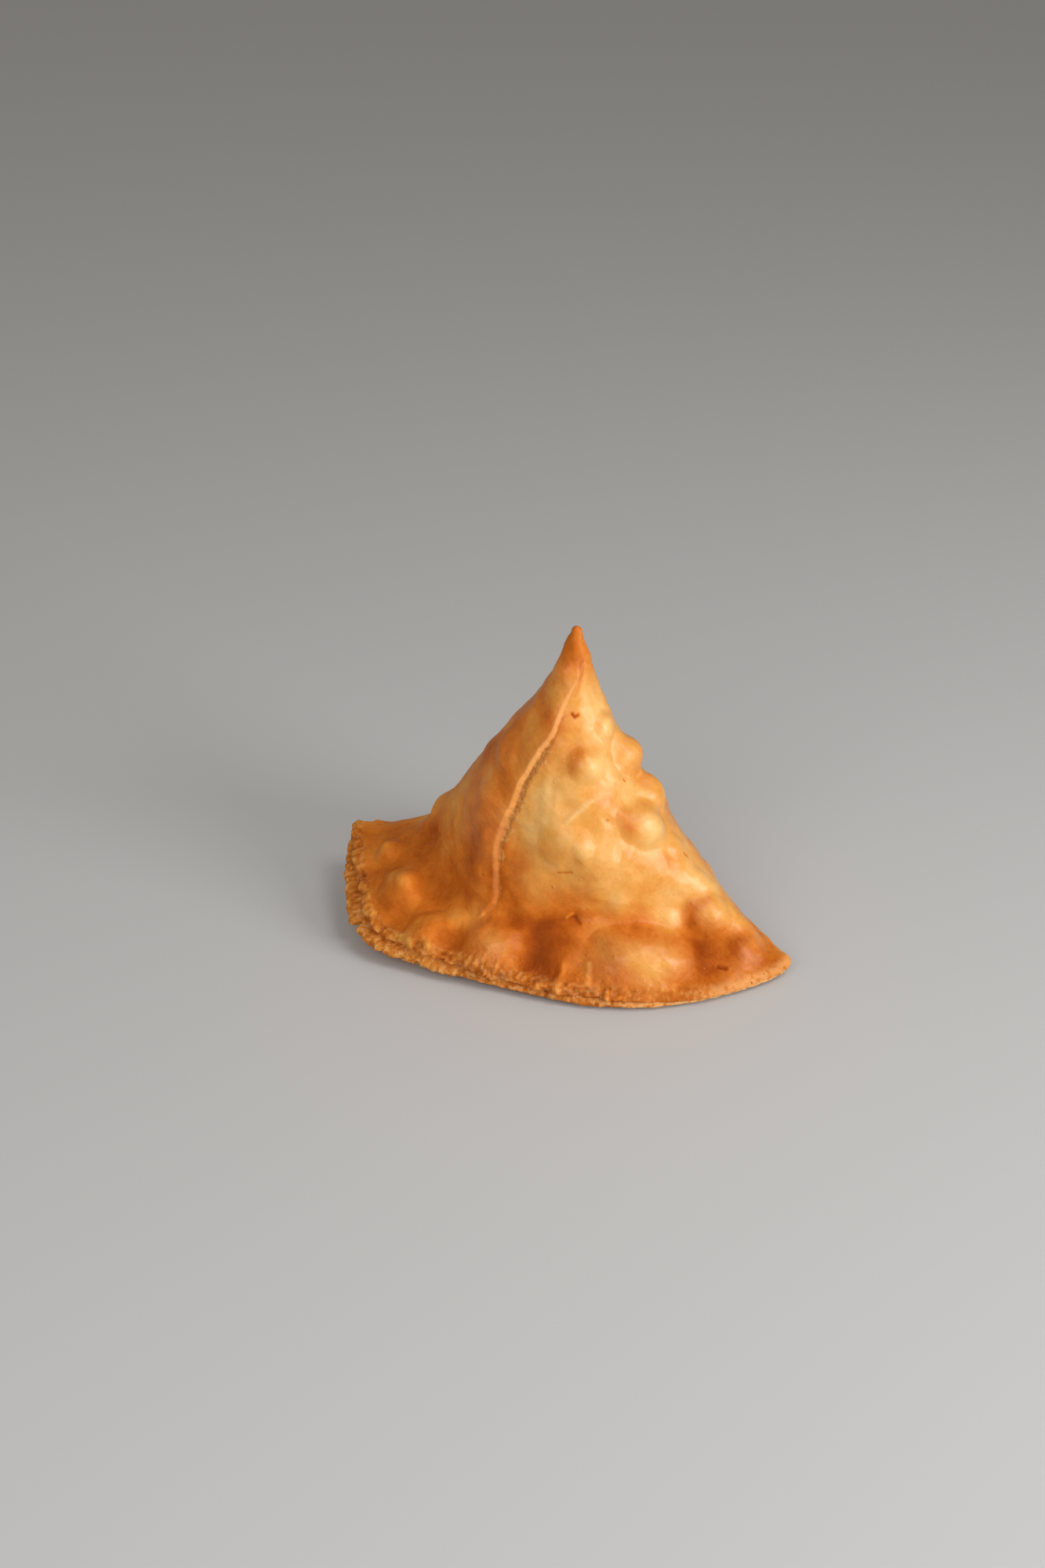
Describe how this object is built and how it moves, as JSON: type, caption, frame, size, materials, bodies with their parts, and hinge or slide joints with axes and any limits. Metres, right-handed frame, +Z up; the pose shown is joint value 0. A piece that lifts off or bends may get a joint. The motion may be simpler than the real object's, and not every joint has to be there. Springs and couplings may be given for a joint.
{
  "type": "samosa",
  "caption": "Fried samosa: a filled three-cornered pastry with a lapped seam down its front, blistered golden crust and a crimped double edge, standing on its flat base.",
  "frame": {"origin": "on the table, at the centre of the bounding box's bottom face", "axes": "+Z up to the closed point, -Y towards the crimped edge and the seamed front, +X towards the sharp corner of the edge"},
  "size_m": [0.1032, 0.064, 0.0793],
  "materials": {
    "crust": "satin, fried in oil"
  },
  "bodies": {
    "root": {"pastry": "crust"}
  },
  "joints": []
}
